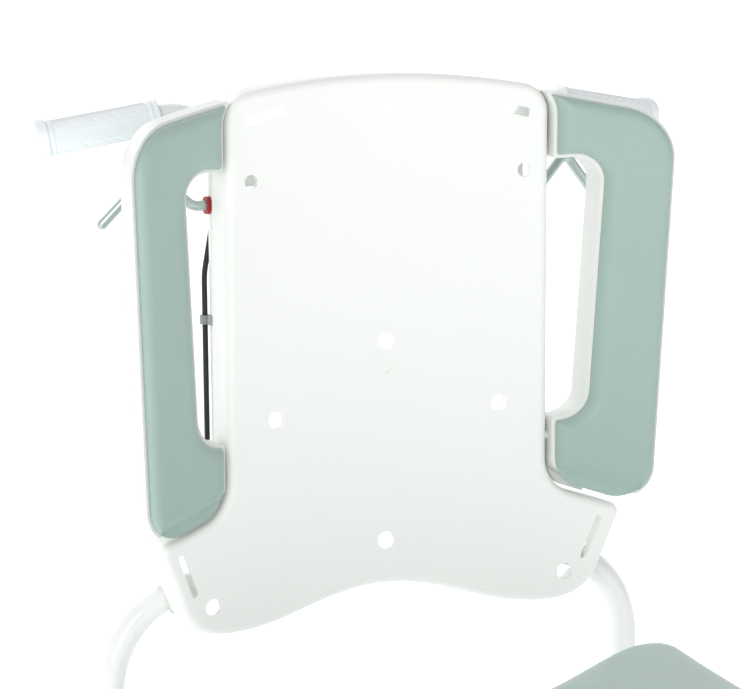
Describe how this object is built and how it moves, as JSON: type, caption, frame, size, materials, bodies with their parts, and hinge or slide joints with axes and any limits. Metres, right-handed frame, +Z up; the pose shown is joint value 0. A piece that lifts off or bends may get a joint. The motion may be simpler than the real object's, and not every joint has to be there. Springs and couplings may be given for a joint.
{
  "type": "wheeled shower chair",
  "caption": "Wheeled shower chair with a moulded drain-holed back, padded flip-up armrests, push handles with a release bar, a soft contoured seat, flip-up footplates and swivel castors.",
  "frame": {"origin": "on the floor under the middle of the chair's bounding box", "axes": "+Z up, the sitter faces -Y, +X to the right seen from in front"},
  "size_m": [0.6246, 0.872, 1.061],
  "materials": {
    "panel_white": "smooth satin moulding",
    "shell_white": "smooth satin moulding",
    "pad_green": "fine satin integral skin foam",
    "seat_green": "fine satin integral skin foam",
    "frame_white": "gloss powder coat",
    "grip_white": "moulded satin",
    "lever_steel": "satin",
    "bush_red": "moulded",
    "cable_black": "satin sheath",
    "clip_grey": "moulded",
    "foot_grey": "ribbed moulding",
    "cylinder_black": "gloss",
    "rod_chrome": "polished",
    "fork_grey": "moulded",
    "hub_white": "moulded",
    "tyre_grey": "smooth tread",
    "axle_steel": "zinc plated"
  },
  "bodies": {
    "base": {"base_frame": "frame_white"},
    "seat_unit": {"seat_frame": "frame_white", "handle_frame": "frame_white", "back_panel": "panel_white", "grip_left": "grip_white", "grip_right": "grip_white", "lever_bushes": "bush_red", "release_cable_left": "cable_black", "release_cable_right": "cable_black", "cable_clips": "clip_grey", "panel_clips": "clip_grey", "seat_pan": "hub_white", "seat": "seat_green", "seat_clips": "clip_grey", "tube_plugs": "clip_grey", "hanger_left": "frame_white", "hanger_right": "frame_white"},
    "lever": {"release_lever": "lever_steel"},
    "armrest_left": {"armrest_shell_left": "shell_white", "armrest_pad_left": "pad_green", "armrest_rear_pad_left": "pad_green"},
    "footplate_left": {"footplate_left": "foot_grey"},
    "gas_cylinder_left": {"gas_cylinder_left": "cylinder_black"},
    "gas_rod_left": {"gas_rod_left": "rod_chrome"},
    "brake_rear_left": {"brake_pedal_rear_left": "clip_grey"},
    "armrest_right": {"armrest_shell_right": "shell_white", "armrest_pad_right": "pad_green", "armrest_rear_pad_right": "pad_green"},
    "footplate_right": {"footplate_right": "foot_grey"},
    "gas_cylinder_right": {"gas_cylinder_right": "cylinder_black"},
    "gas_rod_right": {"gas_rod_right": "rod_chrome"},
    "brake_rear_right": {"brake_pedal_rear_right": "clip_grey"},
    "castor_front_left": {"castor_fork_front_left": "fork_grey", "castor_axle_front_left": "axle_steel"},
    "wheel_front_left": {"castor_hub_front_left": "hub_white", "castor_tyre_front_left": "tyre_grey"},
    "castor_front_right": {"castor_fork_front_right": "fork_grey", "castor_axle_front_right": "axle_steel"},
    "wheel_front_right": {"castor_hub_front_right": "hub_white", "castor_tyre_front_right": "tyre_grey"},
    "castor_rear_left": {"castor_fork_rear_left": "fork_grey", "castor_axle_rear_left": "axle_steel"},
    "wheel_rear_left": {"castor_hub_rear_left": "hub_white", "castor_tyre_rear_left": "tyre_grey"},
    "castor_rear_right": {"castor_fork_rear_right": "fork_grey", "castor_axle_rear_right": "axle_steel"},
    "wheel_rear_right": {"castor_hub_rear_right": "hub_white", "castor_tyre_rear_right": "tyre_grey"}
  },
  "joints": [
    {"name": "seat_tilt", "type": "hinge", "parent": "base", "child": "seat_unit", "pos_m": [0, 0.018, 0.385], "axis": [-1, 0, 0], "range_deg": [0, 18]},
    {"name": "lever_pull", "type": "hinge", "parent": "seat_unit", "child": "lever", "pos_m": [0, 0.28429, 0.947], "axis": [1, 0, 0], "range_deg": [0, 12], "stiffness_Nm_per_rad": 1.5, "springref_deg": -11.46},
    {"name": "armrest_left_fold", "type": "hinge", "parent": "seat_unit", "child": "armrest_left", "pos_m": [-0.174, 0.248, 0.722], "axis": [1, 0, 0], "range_deg": [0, 90]},
    {"name": "footplate_left_flip", "type": "hinge", "parent": "seat_unit", "child": "footplate_left", "pos_m": [-0.15, -0.364, 0.15], "axis": [0, -1, 0], "range_deg": [0, 90]},
    {"name": "gas_cylinder_left_swing", "type": "hinge", "parent": "base", "child": "gas_cylinder_left", "pos_m": [-0.147, 0.308, 0.222], "axis": [1, 0, 0], "range_deg": [0, 15]},
    {"name": "gas_rod_left_slide", "type": "slide", "parent": "gas_cylinder_left", "child": "gas_rod_left", "axis": [0, -0.5898, 0.8076], "range_m": [-0.045, 0]},
    {"name": "armrest_right_fold", "type": "hinge", "parent": "seat_unit", "child": "armrest_right", "pos_m": [0.174, 0.248, 0.722], "axis": [1, 0, 0], "range_deg": [0, 90]},
    {"name": "footplate_right_flip", "type": "hinge", "parent": "seat_unit", "child": "footplate_right", "pos_m": [0.15, -0.364, 0.15], "axis": [0, 1, 0], "range_deg": [0, 90]},
    {"name": "gas_cylinder_right_swing", "type": "hinge", "parent": "base", "child": "gas_cylinder_right", "pos_m": [0.147, 0.308, 0.222], "axis": [1, 0, 0], "range_deg": [0, 15]},
    {"name": "gas_rod_right_slide", "type": "slide", "parent": "gas_cylinder_right", "child": "gas_rod_right", "axis": [0, -0.5898, 0.8076], "range_m": [-0.045, 0]},
    {"name": "castor_front_left_swivel", "type": "hinge", "parent": "base", "child": "castor_front_left", "pos_m": [-0.285, -0.182, 0.18], "axis": [0, 0, 1], "continuous": true},
    {"name": "wheel_front_left_spin", "type": "hinge", "parent": "castor_front_left", "child": "wheel_front_left", "pos_m": [-0.285, -0.146, 0.0625], "axis": [1, 0, 0], "continuous": true},
    {"name": "castor_front_right_swivel", "type": "hinge", "parent": "base", "child": "castor_front_right", "pos_m": [0.285, -0.182, 0.18], "axis": [0, 0, 1], "continuous": true},
    {"name": "wheel_front_right_spin", "type": "hinge", "parent": "castor_front_right", "child": "wheel_front_right", "pos_m": [0.285, -0.146, 0.0625], "axis": [1, 0, 0], "continuous": true},
    {"name": "castor_rear_left_swivel", "type": "hinge", "parent": "base", "child": "castor_rear_left", "pos_m": [-0.285, 0.3375, 0.18], "axis": [0, 0, 1], "continuous": true},
    {"name": "wheel_rear_left_spin", "type": "hinge", "parent": "castor_rear_left", "child": "wheel_rear_left", "pos_m": [-0.285, 0.3735, 0.0625], "axis": [1, 0, 0], "continuous": true},
    {"name": "brake_rear_left_press", "type": "hinge", "parent": "castor_rear_left", "child": "brake_rear_left", "pos_m": [-0.285, 0.3745, 0.141], "axis": [-1, 0, 0], "range_deg": [0, 14]},
    {"name": "castor_rear_right_swivel", "type": "hinge", "parent": "base", "child": "castor_rear_right", "pos_m": [0.285, 0.3375, 0.18], "axis": [0, 0, 1], "continuous": true},
    {"name": "wheel_rear_right_spin", "type": "hinge", "parent": "castor_rear_right", "child": "wheel_rear_right", "pos_m": [0.285, 0.3735, 0.0625], "axis": [1, 0, 0], "continuous": true},
    {"name": "brake_rear_right_press", "type": "hinge", "parent": "castor_rear_right", "child": "brake_rear_right", "pos_m": [0.285, 0.3745, 0.141], "axis": [-1, 0, 0], "range_deg": [0, 14]}
  ],
  "couplings": [
    {"joint": "gas_cylinder_left_swing", "follows": "seat_tilt", "ratio": 0.5222},
    {"joint": "gas_rod_left_slide", "follows": "seat_tilt", "m_per_rad": -0.11841},
    {"joint": "gas_cylinder_right_swing", "follows": "seat_tilt", "ratio": 0.5222},
    {"joint": "gas_rod_right_slide", "follows": "seat_tilt", "m_per_rad": -0.11841}
  ]
}
